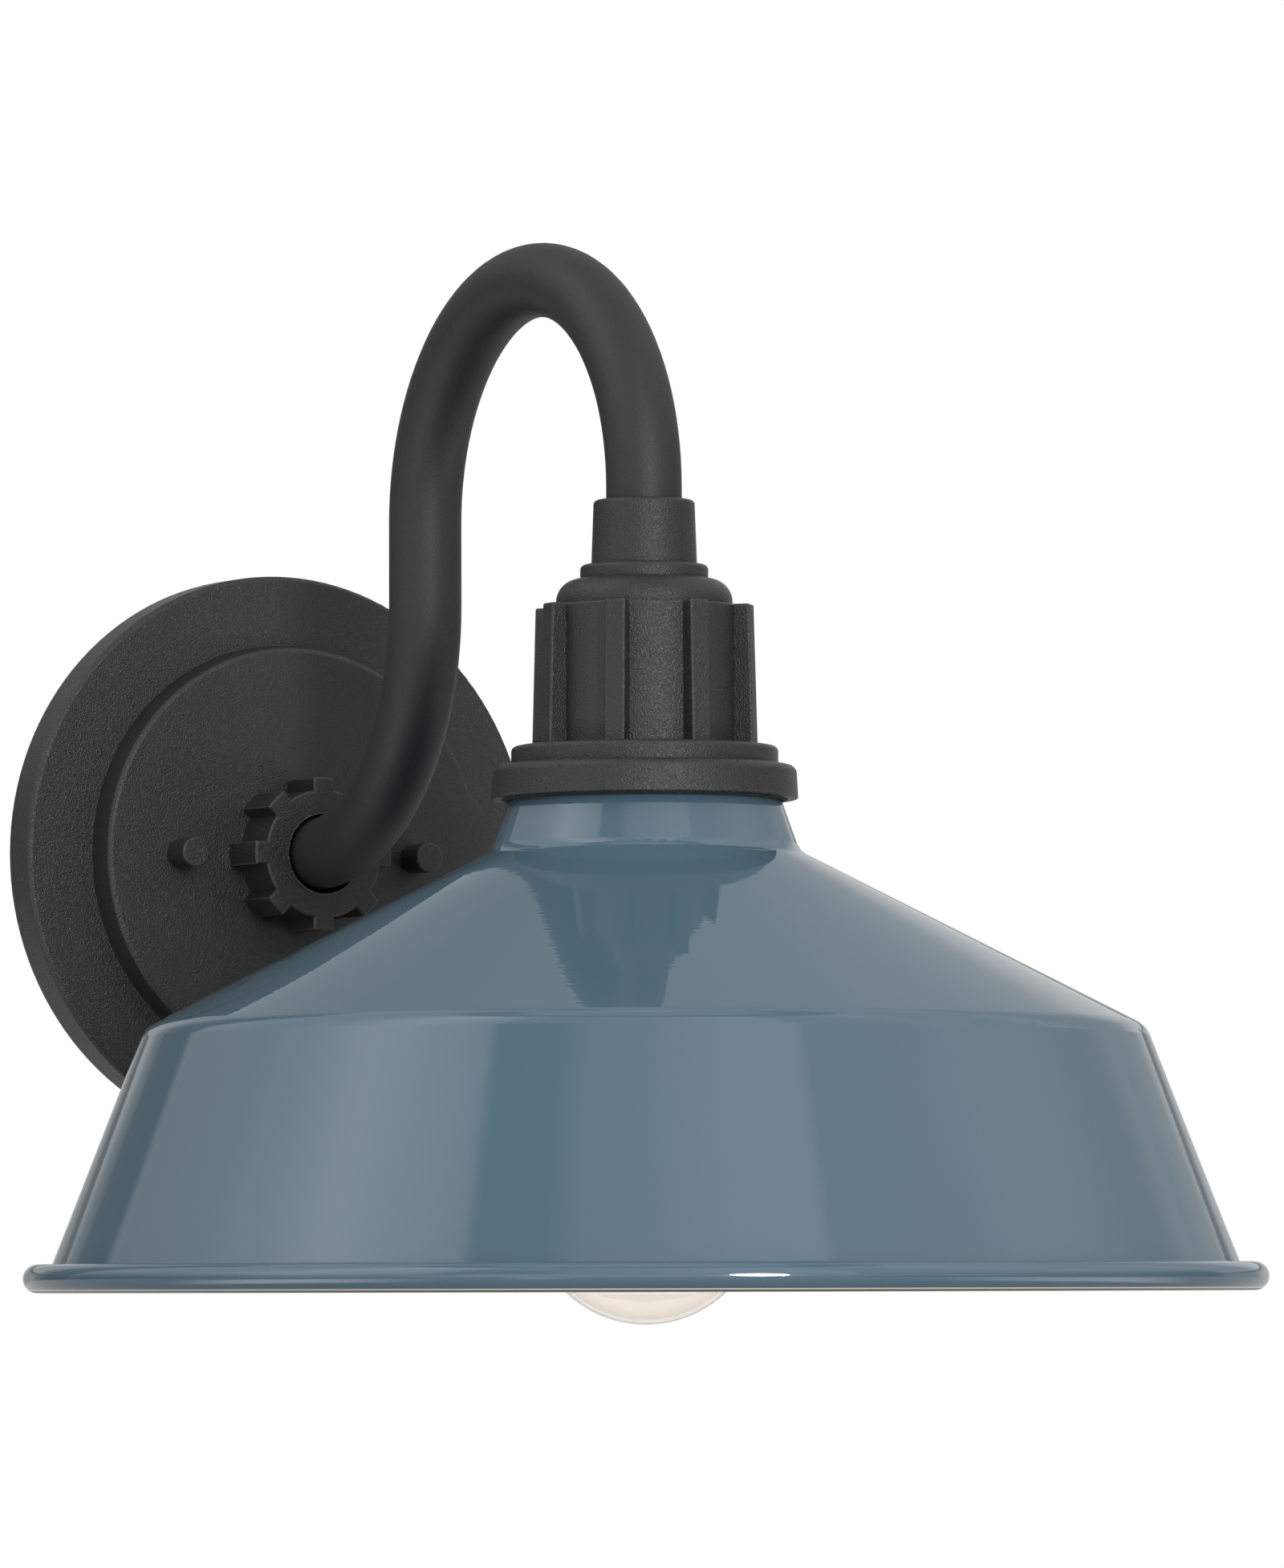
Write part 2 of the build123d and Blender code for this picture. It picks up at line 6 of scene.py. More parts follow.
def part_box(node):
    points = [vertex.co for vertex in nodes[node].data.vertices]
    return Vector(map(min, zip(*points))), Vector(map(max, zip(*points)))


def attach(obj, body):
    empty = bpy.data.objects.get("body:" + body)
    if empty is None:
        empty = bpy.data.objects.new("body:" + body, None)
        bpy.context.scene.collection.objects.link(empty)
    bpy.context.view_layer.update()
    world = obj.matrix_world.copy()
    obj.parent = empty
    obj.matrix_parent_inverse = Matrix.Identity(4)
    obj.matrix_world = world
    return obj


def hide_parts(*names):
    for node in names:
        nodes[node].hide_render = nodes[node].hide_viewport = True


# Gooseneck barn light: finishes, fine pieces, studio and camera, in metres, in the part's own frame

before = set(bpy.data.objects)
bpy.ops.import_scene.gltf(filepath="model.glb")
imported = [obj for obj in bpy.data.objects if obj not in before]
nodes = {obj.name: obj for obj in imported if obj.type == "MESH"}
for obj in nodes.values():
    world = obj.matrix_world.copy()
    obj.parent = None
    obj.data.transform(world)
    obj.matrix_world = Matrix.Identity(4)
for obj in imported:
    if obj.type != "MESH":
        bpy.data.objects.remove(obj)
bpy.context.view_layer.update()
shadeLow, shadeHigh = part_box("shade")
lampAxis = Vector(((shadeLow.x + shadeHigh.x) / 2, (shadeLow.y + shadeHigh.y) / 2, 0.0))
upward = Vector((0.0, 0.0, 1.0))
print("frame loaded:", len(nodes), "nodes")


# Camera, fitted to the outlines of the photograph
cameraSet = {
    "place": (-0.89725, -1.74600, -0.09706),
    "turn": -0.5186,        # radians from +Y, to the right is negative
    "pitch": 0.0581,        # radians above level
    "roll": -0.0026,
    "lens": 197.86,         # on a sensor of 36 mm along the picture's long side
    "sensor": 36.0,
    "clip": (0.05, 50.0),
}


def cameraAxes():
    turn, pitch, roll = cameraSet["turn"], cameraSet["pitch"], cameraSet["roll"]
    side = Vector((math.cos(turn), math.sin(turn), 0.0))
    level = Vector((-math.sin(turn), math.cos(turn), 0.0))
    ahead = level * math.cos(pitch) + upward * math.sin(pitch)
    top = upward * math.cos(pitch) - level * math.sin(pitch)
    right = side * math.cos(roll) + top * math.sin(roll)
    up = top * math.cos(roll) - side * math.sin(roll)
    return right, up, ahead


def makeCamera():
    right, up, ahead = cameraAxes()
    data = bpy.data.cameras.new("photoCamera")
    data.lens = cameraSet["lens"]
    data.sensor_width = cameraSet["sensor"]
    data.clip_start, data.clip_end = cameraSet["clip"]
    camera = bpy.data.objects.new("photoCamera", data)
    bpy.context.scene.collection.objects.link(camera)
    turnMatrix = Matrix((right, up, -ahead)).transposed()
    camera.matrix_world = Matrix.Translation(cameraSet["place"]) @ turnMatrix.to_4x4()
    bpy.context.scene.camera = camera


makeCamera()
bpy.context.scene.view_settings.view_transform = "Standard"
print("camera set")


# Node helpers
def addNode(tree, kind, **settings):
    node = tree.nodes.new(kind)
    for name, value in settings.items():
        setattr(node, name, value)
    return node


def feed(tree, socket, value):
    # a socket takes a link, or a plain value
    if isinstance(value, bpy.types.NodeSocket):
        tree.links.new(value, socket)
    else:
        socket.default_value = value


def mathOf(tree, operation, first, second=0.0):
    node = addNode(tree, "ShaderNodeMath", operation=operation)
    feed(tree, node.inputs[0], first)
    feed(tree, node.inputs[1], second)
    return node.outputs[0]


def productOf(tree, first, *others):
    for other in others:
        first = mathOf(tree, "MULTIPLY", first, other)
    return first


def awayFrom(tree, value, middle):
    return mathOf(tree, "ABSOLUTE", mathOf(tree, "SUBTRACT", value, middle))


def vectorOf(tree, operation, first, second=(0.0, 0.0, 0.0)):
    node = addNode(tree, "ShaderNodeVectorMath", operation=operation)
    feed(tree, node.inputs[0], first)
    feed(tree, node.inputs[1], second)
    return node.outputs["Value" if operation in ("DOT_PRODUCT", "LENGTH") else "Vector"]


def dotOf(tree, first, second):
    return vectorOf(tree, "DOT_PRODUCT", first, second)


def objectPlace(tree):
    return addNode(tree, "ShaderNodeTexCoord").outputs["Object"]


def flatFromAxis(tree, place):
    # level way from the lamp's axis to a place
    return vectorOf(tree, "MULTIPLY", vectorOf(tree, "SUBTRACT", place, lampAxis), (1.0, 1.0, 0.0))


def rampOf(tree, value, low, high, start=0.0, end=1.0):
    # smooth step from start, at low, to end, at high
    node = addNode(tree, "ShaderNodeMapRange", interpolation_type="SMOOTHSTEP")
    settings = {"Value": value, "From Min": low, "From Max": high, "To Min": start, "To Max": end}
    for name, item in settings.items():
        feed(tree, node.inputs[name], item)
    return node.outputs["Result"]


def within(tree, value, inner, outer):
    # 1 up to the inner bound, 0 from the outer one
    return rampOf(tree, value, inner, outer, 1.0, 0.0)


def bandOf(tree, value, foot, low, high, top):
    # 1 between low and high, 0 below the foot and above the top
    return productOf(tree, rampOf(tree, value, foot, low), within(tree, value, high, top))


def mixColour(tree, share, first, second):
    node = addNode(tree, "ShaderNodeMix", data_type="RGBA")
    feed(tree, node.inputs[0], share)
    for socket, colour in ((node.inputs[6], first), (node.inputs[7], second)):
        feed(tree, socket, colour if isinstance(colour, bpy.types.NodeSocket) else (*colour, 1.0))
    return node.outputs[2]


def mixValue(tree, share, first, second):
    node = addNode(tree, "ShaderNodeMix", data_type="FLOAT")
    feed(tree, node.inputs[0], share)
    feed(tree, node.inputs[2], first)
    feed(tree, node.inputs[3], second)
    return node.outputs[0]


def mixTones(tree, share, colour, spread):
    # a colour that is darker and lighter by the spread
    dark, light = (tuple(c * level for c in colour) for level in (1 - spread, 1 + spread))
    return mixColour(tree, share, dark, light)


def noiseOf(tree, vector, scale, detail=2.0, roughness=0.5):
    node = addNode(tree, "ShaderNodeTexNoise", noise_dimensions="3D")
    feed(tree, node.inputs["Vector"], vector)
    feed(tree, node.inputs["Scale"], scale)
    feed(tree, node.inputs["Detail"], detail)
    feed(tree, node.inputs["Roughness"], roughness)
    return node.outputs["Fac"]


def bumpOf(tree, height, distance, normal=None):
    node = addNode(tree, "ShaderNodeBump")
    feed(tree, node.inputs["Strength"], 1.0)
    feed(tree, node.inputs["Distance"], distance)
    feed(tree, node.inputs["Height"], height)
    if normal is not None:
        feed(tree, node.inputs["Normal"], normal)
    return node.outputs["Normal"]


def newGroup(name, inputs, outputs):
    group = bpy.data.node_groups.new(name, "ShaderNodeTree")
    for label, value in inputs.items():
        socket = group.interface.new_socket(label, in_out="INPUT", socket_type="NodeSocketFloat")
        socket.default_value = value
    for label in outputs:
        group.interface.new_socket(label, in_out="OUTPUT", socket_type="NodeSocketFloat")
    return group, addNode(group, "NodeGroupInput"), addNode(group, "NodeGroupOutput")


def placeGroup(tree, group, **values):
    node = addNode(tree, "ShaderNodeGroup", node_tree=group)
    for name, value in values.items():
        feed(tree, node.inputs[name], value)
    return node.outputs


def newMaterial(name, **values):
    material = bpy.data.materials.new(name)
    material.use_nodes = True
    tree = material.node_tree
    shader = next(n for n in tree.nodes if n.type == "BSDF_PRINCIPLED")
    for label, value in values.items():
        shader.inputs[label.replace("_", " ")].default_value = value
    return material, tree, shader


# Shared surface effects, each one node group

# Sand-like powder coat: rounded grains, bright specks and a slow change of tone
grainSet = {
    "grain": 1500.0,                 # grains to a metre, where a finish gives no other
    "smooth": 0.6,
    "fine": 0.9,                     # scales of the noise and of the specks, as shares of the grain's
    "speck": 1.3,
    "speckCut": (0.60, 0.74),
    "cloud": 40.0,
}


def makeSandGrain():
    inputs = {"Grain": grainSet["grain"], "Cloud": grainSet["cloud"]}
    group, into, out = newGroup("sandGrain", inputs, ("Height", "Specks", "Tone"))
    place = objectPlace(group)
    grain = addNode(group, "ShaderNodeTexVoronoi", feature="SMOOTH_F1")
    feed(group, grain.inputs["Vector"], place)
    feed(group, grain.inputs["Scale"], into.outputs["Grain"])
    feed(group, grain.inputs["Smoothness"], grainSet["smooth"])
    rounded = mathOf(group, "SUBTRACT", 1.0, grain.outputs["Distance"])
    fineScale = productOf(group, into.outputs["Grain"], grainSet["fine"])
    fine = noiseOf(group, place, fineScale, detail=3.0, roughness=0.6)
    speckScale = productOf(group, into.outputs["Grain"], grainSet["speck"])
    specks = rampOf(group, noiseOf(group, place, speckScale, detail=0.0), *grainSet["speckCut"])
    tone = noiseOf(group, place, into.outputs["Cloud"], detail=3.0, roughness=0.55)
    feed(group, out.inputs["Height"], mixValue(group, 0.5, rounded, fine))
    feed(group, out.inputs["Specks"], specks)
    feed(group, out.inputs["Tone"], tone)
    return group


# Faint turning rings and orange peel of spun and enamelled sheet, about the lamp's axis
spunSet = {"rings": 760.0, "peel": 260.0, "cloud": 22.0}


def makeSpunRings():
    inputs = {"Rings": spunSet["rings"], "Peel": spunSet["peel"]}
    group, into, out = newGroup("spunRings", inputs, ("Height", "Peel", "Tone"))
    place = objectPlace(group)
    radius = vectorOf(group, "LENGTH", flatFromAxis(group, place))
    rings = addNode(group, "ShaderNodeTexNoise", noise_dimensions="1D")
    feed(group, rings.inputs["W"], mathOf(group, "SUBTRACT", radius, dotOf(group, place, upward)))
    feed(group, rings.inputs["Scale"], into.outputs["Rings"])
    feed(group, rings.inputs["Detail"], 0.0)
    feed(group, out.inputs["Height"], rings.outputs["Fac"])
    feed(group, out.inputs["Peel"], noiseOf(group, place, into.outputs["Peel"], detail=1.0))
    feed(group, out.inputs["Tone"], noiseOf(group, place, spunSet["cloud"], detail=3.0))
    return group


# Fine lines of drawn, rolled or brushed metal along one direction, with a cloudy tone
drawnSet = {"across": 2600.0, "along": 60.0, "cloud": 130.0}


def makeDrawnLines():
    inputs = {"Across": drawnSet["across"], "Along": drawnSet["along"]}
    group, into, out = newGroup("drawnLines", inputs, ("Height", "Tone"))
    place = objectPlace(group)
    stretch = addNode(group, "ShaderNodeCombineXYZ")
    for socket, label in zip(stretch.inputs, ("Along", "Across", "Across")):
        feed(group, socket, into.outputs[label])
    lines = vectorOf(group, "MULTIPLY", place, stretch.outputs[0])
    feed(group, out.inputs["Height"], noiseOf(group, lines, 1.0, detail=3.0, roughness=0.6))
    feed(group, out.inputs["Tone"], noiseOf(group, place, drawnSet["cloud"], detail=4.0, roughness=0.6))
    return group


# White side of the shade, told by which way the sheet faces: out from the axis and up is the coloured side
sidesSet = {"outShare": 0.85, "upShare": 0.53, "blur": 0.02}


def makeShadeSides():
    group, _, out = newGroup("shadeSides", {}, ("Inside",))
    facing = addNode(group, "ShaderNodeNewGeometry").outputs["Normal"]
    radial = vectorOf(group, "NORMALIZE", flatFromAxis(group, objectPlace(group)))
    outPart = productOf(group, dotOf(group, facing, radial), sidesSet["outShare"])
    upPart = productOf(group, dotOf(group, facing, upward), sidesSet["upShare"])
    lean = mathOf(group, "ADD", outPart, upPart)
    feed(group, out.inputs["Inside"], rampOf(group, lean, sidesSet["blur"], -sidesSet["blur"]))
    return group


# Outer edges get a painted highlight, a lighter colour where light would catch them, and inner corners get
# painted shade, a darker colour where shade falls
cornerSets = {
    "paintedEdgeHighlight": {"inside": True, "reach": 0.00042, "cut": (0.94, 0.70)},
    "paintedCornerShade": {"inside": False, "reach": 0.0010, "cut": (0.70, 0.42)},
}


def makeCorners(name):
    look = cornerSets[name]
    group, into, out = newGroup(name, {"Reach": look["reach"]}, ("Share",))
    probe = addNode(group, "ShaderNodeAmbientOcclusion", inside=look["inside"], only_local=True, samples=6)
    feed(group, probe.inputs["Distance"], into.outputs["Reach"])
    feed(group, out.inputs["Share"], rampOf(group, probe.outputs["AO"], *look["cut"]))
    return group


sandGrain = makeSandGrain()
paintedEdgeHighlight = makeCorners("paintedEdgeHighlight")
paintedCornerShade = makeCorners("paintedCornerShade")
spunRings = makeSpunRings()
drawnLines = makeDrawnLines()
shadeSides = makeShadeSides()
print("surface effects made")


# Black powder coat: coarse on the castings, finer on the tube; edge is the lighter colour of a painted edge
# highlight
coatSets = {
    "castCoat": {"colour": (0.0120, 0.0120, 0.0120), "speck": (0.052, 0.052, 0.052), "grain": 3000.0,
                 "depth": 0.00020, "rough": (0.40, 0.24), "edge": (0.115, 0.115, 0.115), "edgeHighlightShare": 0.9},
    "tubeCoat": {"colour": (0.0125, 0.0125, 0.0125), "speck": (0.028, 0.028, 0.028), "grain": 3200.0,
                 "depth": 0.00009, "rough": (0.54, 0.44), "edge": (0.050, 0.050, 0.050), "edgeHighlightShare": 0.5},
}
coatTonesAndPaintedLight = {
    "toneSpread": 0.14,
    "speckShare": 0.35,
    "cornerShadeShare": 0.6,
    "cornerShadeColour": (0.002, 0.002, 0.002),
    "deepRough": 0.60,
    "highlightHeight": (0.48, 0.62),       # the painted edge highlight shows most on the tops of the grains
    "highlightLeast": 0.15,
}


def makeCoat(name):
    look = coatSets[name]
    material, tree, shader = newMaterial(name, IOR=1.44)
    grain = placeGroup(tree, sandGrain, Grain=look["grain"])
    cornerShade = placeGroup(tree, paintedCornerShade)["Share"]
    edge = placeGroup(tree, paintedEdgeHighlight)["Share"]
    base = mixTones(tree, grain["Tone"], look["colour"], coatTonesAndPaintedLight["toneSpread"])
    base = mixColour(tree, productOf(tree, grain["Specks"], coatTonesAndPaintedLight["speckShare"]), base, look["speck"])
    # painted shade: the colour darkens to near black in inner corners and slots, where shade falls
    base = mixColour(tree, productOf(tree, cornerShade, coatTonesAndPaintedLight["cornerShadeShare"]), base, coatTonesAndPaintedLight["cornerShadeColour"])
    # painted highlight: the colour lightens along outer edges, where light would catch them
    tops = rampOf(tree, grain["Height"], *coatTonesAndPaintedLight["highlightHeight"], coatTonesAndPaintedLight["highlightLeast"], 1.0)
    edgeHighlight = productOf(tree, edge, tops, look["edgeHighlightShare"])
    feed(tree, shader.inputs["Base Color"], mixColour(tree, edgeHighlight, base, look["edge"]))
    rough = mixValue(tree, grain["Specks"], *look["rough"])
    feed(tree, shader.inputs["Roughness"], mixValue(tree, cornerShade, rough, coatTonesAndPaintedLight["deepRough"]))
    feed(tree, shader.inputs["Normal"], bumpOf(tree, grain["Height"], look["depth"]))
    return material


# Shade enamel: slate blue outside, white inside, with a painted pale line of light and a painted dark line of
# shadow under the rim
enamelSet = {
    "slate": (0.0615, 0.1065, 0.1420),
    "slateSpread": 0.04,
    "white": (0.80, 0.80, 0.78),
    "whiteDull": (0.776, 0.776, 0.7566),
    "rough": (0.010, 0.020),
    "whiteRough": 0.28,
    "ringDepth": 0.000004,
    "peelDepth": 0.000006,
    "lines": (                       # painted light under the rim: colour, and top above the lowest point of the rim
        ((0.66, 0.62, 0.56), 0.00078),
        ((0.080, 0.070, 0.060), 0.00050)),
    "lineBlur": 0.00008,
}


def makeEnamel():
    material, tree, shader = newMaterial("shadeEnamel", IOR=1.5)
    spun = placeGroup(tree, spunRings)
    inside = placeGroup(tree, shadeSides)["Inside"]
    slate = mixTones(tree, spun["Tone"], enamelSet["slate"], enamelSet["slateSpread"])
    white = mixColour(tree, spun["Tone"], enamelSet["whiteDull"], enamelSet["white"])
    colour = mixColour(tree, inside, slate, white)
    height = dotOf(tree, objectPlace(tree), upward)
    # painted light: a pale line of light, then a dark line of shadow at the rim's lowest edge, by height
    for paintedLineColour, top in enamelSet["lines"]:
        edge = shadeLow.z + top
        colour = mixColour(tree, rampOf(tree, height, edge, edge - enamelSet["lineBlur"]), colour, paintedLineColour)
    feed(tree, shader.inputs["Base Color"], colour)
    gloss = mixValue(tree, spun["Tone"], *enamelSet["rough"])
    feed(tree, shader.inputs["Roughness"], mixValue(tree, inside, gloss, enamelSet["whiteRough"]))
    peel = bumpOf(tree, spun["Peel"], enamelSet["peelDepth"])
    feed(tree, shader.inputs["Normal"], bumpOf(tree, spun["Height"], enamelSet["ringDepth"], peel))
    return material


# Bare and plated metals
metalSets = {
    "zincPlate": {"colour": (0.60, 0.61, 0.63), "dull": (0.44, 0.45, 0.48),
                  "rough": (0.26, 0.42), "depth": 0.000006},
    "greenDye": {"colour": (0.05, 0.27, 0.10), "dull": (0.03, 0.17, 0.06),
                 "rough": (0.26, 0.40), "depth": 0.000004},
    "brightBrass": {"colour": (0.76, 0.55, 0.24), "dull": (0.58, 0.38, 0.14),
                    "rough": (0.16, 0.32), "depth": 0.000004},
    "rolledAlloy": {"colour": (0.80, 0.80, 0.80), "dull": (0.66, 0.66, 0.67),
                    "rough": (0.16, 0.30), "depth": 0.000004},
    "softSolder": {"colour": (0.62, 0.62, 0.63), "dull": (0.42, 0.42, 0.44),
                   "rough": (0.24, 0.42), "depth": 0.000020},
    "leadWire": {"colour": (0.52, 0.50, 0.48), "dull": (0.40, 0.38, 0.36),
                 "rough": (0.22, 0.36), "depth": 0.000003},
    "bareCopper": {"colour": (0.80, 0.40, 0.24), "dull": (0.60, 0.26, 0.14),
                   "rough": (0.20, 0.34), "depth": 0.000003},
}


def makeMetal(name):
    look = metalSets[name]
    material, tree, shader = newMaterial(name, Metallic=1.0)
    lines = placeGroup(tree, drawnLines)
    feed(tree, shader.inputs["Base Color"], mixColour(tree, lines["Tone"], look["dull"], look["colour"]))
    feed(tree, shader.inputs["Roughness"], mixValue(tree, lines["Height"], *look["rough"]))
    feed(tree, shader.inputs["Normal"], bumpOf(tree, lines["Height"], look["depth"]))
    return material


# Mouldings, rubber, insulation and coatings
mouldSets = {
    "blackMoulding": {"colour": (0.016, 0.016, 0.017), "speck": (0.030, 0.030, 0.031), "grain": 2400.0,
                      "depth": 0.000020, "rough": (0.26, 0.36)},
    "foamRubber": {"colour": (0.020, 0.020, 0.020), "speck": (0.045, 0.045, 0.045), "grain": 1100.0,
                   "depth": 0.000100, "rough": (0.74, 0.88)},
    "blackInsulation": {"colour": (0.018, 0.018, 0.018), "speck": (0.028, 0.028, 0.028), "grain": 1500.0,
                        "depth": 0.000020, "rough": (0.42, 0.55)},
    "whiteInsulation": {"colour": (0.76, 0.76, 0.73), "speck": (0.68, 0.67, 0.63), "grain": 1500.0,
                        "depth": 0.000020, "rough": (0.42, 0.55)},
    "blackGlass": {"colour": (0.012, 0.011, 0.016), "speck": (0.020, 0.018, 0.028), "grain": 500.0,
                   "depth": 0.000030, "rough": (0.10, 0.16)},
    "amberCoating": {"colour": (0.82, 0.56, 0.15), "speck": (0.92, 0.70, 0.26), "grain": 2600.0,
                     "depth": 0.000030, "rough": (0.55, 0.70)},
}


def makeMoulding(name):
    look = mouldSets[name]
    material, tree, shader = newMaterial(name, IOR=1.48)
    grain = placeGroup(tree, sandGrain, Grain=look["grain"], Cloud=90.0)
    feed(tree, shader.inputs["Base Color"], mixColour(tree, grain["Specks"], look["colour"], look["speck"]))
    feed(tree, shader.inputs["Roughness"], mixValue(tree, grain["Tone"], *look["rough"]))
    feed(tree, shader.inputs["Normal"], bumpOf(tree, grain["Height"], look["depth"]))
    return material


# Clear blown glass, with a faint warm tint that gathers at its edge
glassSet = {
    "tint": (0.945, 0.902, 0.855),
    "faint": (0.930, 0.882, 0.832),
    "edge": (0.950, 0.868, 0.765),
    "edgeFacing": (0.54, 0.70),
    "rough": (0.01, 0.04),
    "edgeRough": 0.09,
    "roughFacing": (0.50, 0.80),
    "wave": 90.0,
    "waveCut": (0.2, 0.8),
    "waveDepth": 0.000002,
}


def makeGlass():
    material, tree, shader = newMaterial("clearGlass", IOR=1.5, Transmission_Weight=1.0)
    slow = noiseOf(tree, objectPlace(tree), glassSet["wave"], detail=1.0)
    facing = addNode(tree, "ShaderNodeLayerWeight").outputs["Facing"]
    body = mixColour(tree, slow, glassSet["tint"], glassSet["faint"])
    edge = rampOf(tree, facing, *glassSet["edgeFacing"])
    feed(tree, shader.inputs["Base Color"], mixColour(tree, edge, body, glassSet["edge"]))
    rough = rampOf(tree, slow, *glassSet["waveCut"], *glassSet["rough"])
    edgeRough = rampOf(tree, facing, *glassSet["roughFacing"], 0.0, glassSet["edgeRough"])
    feed(tree, shader.inputs["Roughness"], mathOf(tree, "MAXIMUM", rough, edgeRough))
    feed(tree, shader.inputs["Normal"], bumpOf(tree, slow, glassSet["waveDepth"]))
    return material


finishes = {
    **{name: makeCoat(name) for name in coatSets},
    **{name: makeMetal(name) for name in metalSets},
    **{name: makeMoulding(name) for name in mouldSets},
    "shadeEnamel": makeEnamel(),
    "clearGlass": makeGlass(),
}

# Which finish each node of the part wears
nodeFinishes = {
    "castCoat": ("backplate", "toothed_collar", "ribbed_cap", "cap_nut_left", "cap_nut_right"),
    "tubeCoat": ("gooseneck_arm",),
    "shadeEnamel": ("shade",),
    "zincPlate": ("mounting_strap", "mounting_studs", "stud_locknuts", "arm_bush_plate", "arm_bush_head",
                  "plate_nipple", "plate_lock_washer", "plate_locknut", "head_nipple", "head_lock_washer",
                  "head_locknut", "holder_stirrup", "stirrup_screws"),
    "greenDye": ("ground_screw",),
    "brightBrass": ("lampholder_shell", "lampholder_contact", "terminal_blocks", "terminal_screws"),
    "blackMoulding": ("lampholder_body", "shade_ring"),
    "foamRubber": ("shade_gasket",),
    "blackInsulation": ("lead_live",),
    "whiteInsulation": ("lead_neutral",),
    "clearGlass": ("bulb_glass", "bulb_stem"),
    "rolledAlloy": ("bulb_base",),
    "blackGlass": ("bulb_insulator",),
    "softSolder": ("bulb_tip",),
    "amberCoating": ("bulb_filaments",),
    "leadWire": ("filament_wires",),
}


def dress(obj, finish):
    obj.data.materials.clear()
    obj.data.materials.append(finishes[finish])


for finish, names in nodeFinishes.items():
    for name in names:
        dress(nodes[name], finish)
print("finishes made and set:", len(finishes))


# Fine pieces that the solids leave plain
def makePiece(name, points, faces, finish, body, slot, stands=(), sharp=35.0):
    mesh = bpy.data.meshes.new(name)
    mesh.from_pydata(points, [], faces)
    mesh.update()
    mesh.shade_smooth()
    mesh.set_sharp_from_angle(angle=math.radians(sharp))
    piece = bpy.data.objects.new(name, mesh)
    bpy.context.scene.collection.objects.link(piece)
    mesh.materials.append(finishes[finish])
    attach(piece, body)
    if stands:
        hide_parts(*stands)


# Rolled screw thread of the bulb's base and of the shell that takes it, in millimetres
screwThread = {"pitch": 3.629, "runIn": 1.6, "perTurn": 12, "steps": 120}


def turnedFaces(rows, steps):
    # quads of a closed loop of rows, turned about an axis
    faces = []
    for i in range(rows):
        for k in range(steps):
            j, m = (i + 1) % rows, (k + 1) % steps
            faces.append((i * steps + k, j * steps + k, j * steps + m, i * steps + m))
    return faces


def turnedPoints(rows, steps):
    # rows of radius, height and thread depth, in millimetres, about the lamp's axis
    points = []
    for radius, height, depth in rows:
        for k in range(steps):
            angle = 2 * math.pi * k / steps
            wave = 0.5 + 0.5 * math.cos(2 * math.pi * height / screwThread["pitch"] - angle)
            reach = (radius - depth * wave) / 1000
            x, y = lampAxis.x + reach * math.cos(angle), lampAxis.y + reach * math.sin(angle)
            points.append((x, y, height / 1000))
    return points


def makeTurned(name, rows, steps, *dressing):
    makePiece(name, turnedPoints(rows, steps), turnedFaces(len(rows), steps), *dressing)


# Rubber lip squeezed out under the cap's rim, on the shade's neck: radius and height, in millimetres
gasketLip = {
    "profile": ((28.55, 5.20), (29.95, 5.20), (30.10, 4.92), (30.05, 4.68), (29.80, 4.52), (29.45, 4.46),
                (29.00, 4.52)),
    "steps": 160,
}
lipRows = [(radius, height, 0.0) for radius, height in gasketLip["profile"]]
makeTurned("gasket_lip", lipRows, gasketLip["steps"], "foamRubber", "fixture", "gasket_rubber")


def threadRows(low, high, radius, depth):
    # rows up a threaded wall, its thread fading in at both ends
    count = max(2, round((high - low) / screwThread["pitch"] * screwThread["perTurn"]))
    rows = []
    for i in range(count + 1):
        height = low + (high - low) * i / count
        fade = min(1.0, (height - low) / screwThread["runIn"], (high - height) / screwThread["runIn"])
        rows.append((radius, height, depth * max(0.0, fade)))
    return rows


def millimetres(node):
    low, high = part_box(node)
    return [v * 1000 for v in low], [v * 1000 for v in high]


# Base of the bulb, in millimetres: insets from the thread's crest, with heights above the foot
# or depths below the top
baseSet = {
    "depth": 0.85,
    "footRows": ((0.40, 0.0), (0.10, 0.0), (0.0, 0.15)),
    "threadFoot": 2.4,
    "threadTop": 2.2,
    "topRows": ((0.25, 1.5), (0.75, 0.6), (1.6, 0.1), (2.2, 0.0), (2.9, 0.4), (1.5, 2.4)),
    "innerRows": ((1.5, 2.6), (0.45, 0.6)),
}


def makeBase():
    low, high = millimetres("bulb_base")
    crest = (high[0] - low[0]) / 2
    foot, top = low[2], high[2]
    rows = [(crest - inset, foot + rise, 0.0) for inset, rise in baseSet["footRows"]]
    rows += threadRows(foot + baseSet["threadFoot"], top - baseSet["threadTop"], crest, baseSet["depth"])
    rows += [(crest - inset, top - drop, 0.0) for inset, drop in baseSet["topRows"]]
    rows += [(crest - inset, foot + rise, 0.0) for inset, rise in baseSet["innerRows"]]
    makeTurned("base_thread", rows, screwThread["steps"], "rolledAlloy", "bulb", "base_alloy", ("bulb_base",))


# Screw shell of the holder, in millimetres
shellSet = {"depth": 0.32, "wall": 0.18, "plainEnd": 0.8}


def makeShell():
    low, high = millimetres("lampholder_shell")
    outer = (high[0] - low[0]) / 2
    foot, top = low[2], high[2]
    inner = outer - shellSet["wall"]
    outside = threadRows(foot + shellSet["plainEnd"], top - shellSet["plainEnd"], outer, shellSet["depth"])
    inside = [(radius - shellSet["wall"], height, depth) for radius, height, depth in reversed(outside)]
    rows = [(inner, foot, 0.0), (outer, foot, 0.0), *outside, (outer, top, 0.0), (inner, top, 0.0), *inside]
    makeTurned("shell_thread", rows, screwThread["steps"], "brightBrass", "fixture", "contact_brass",
               ("lampholder_shell",))


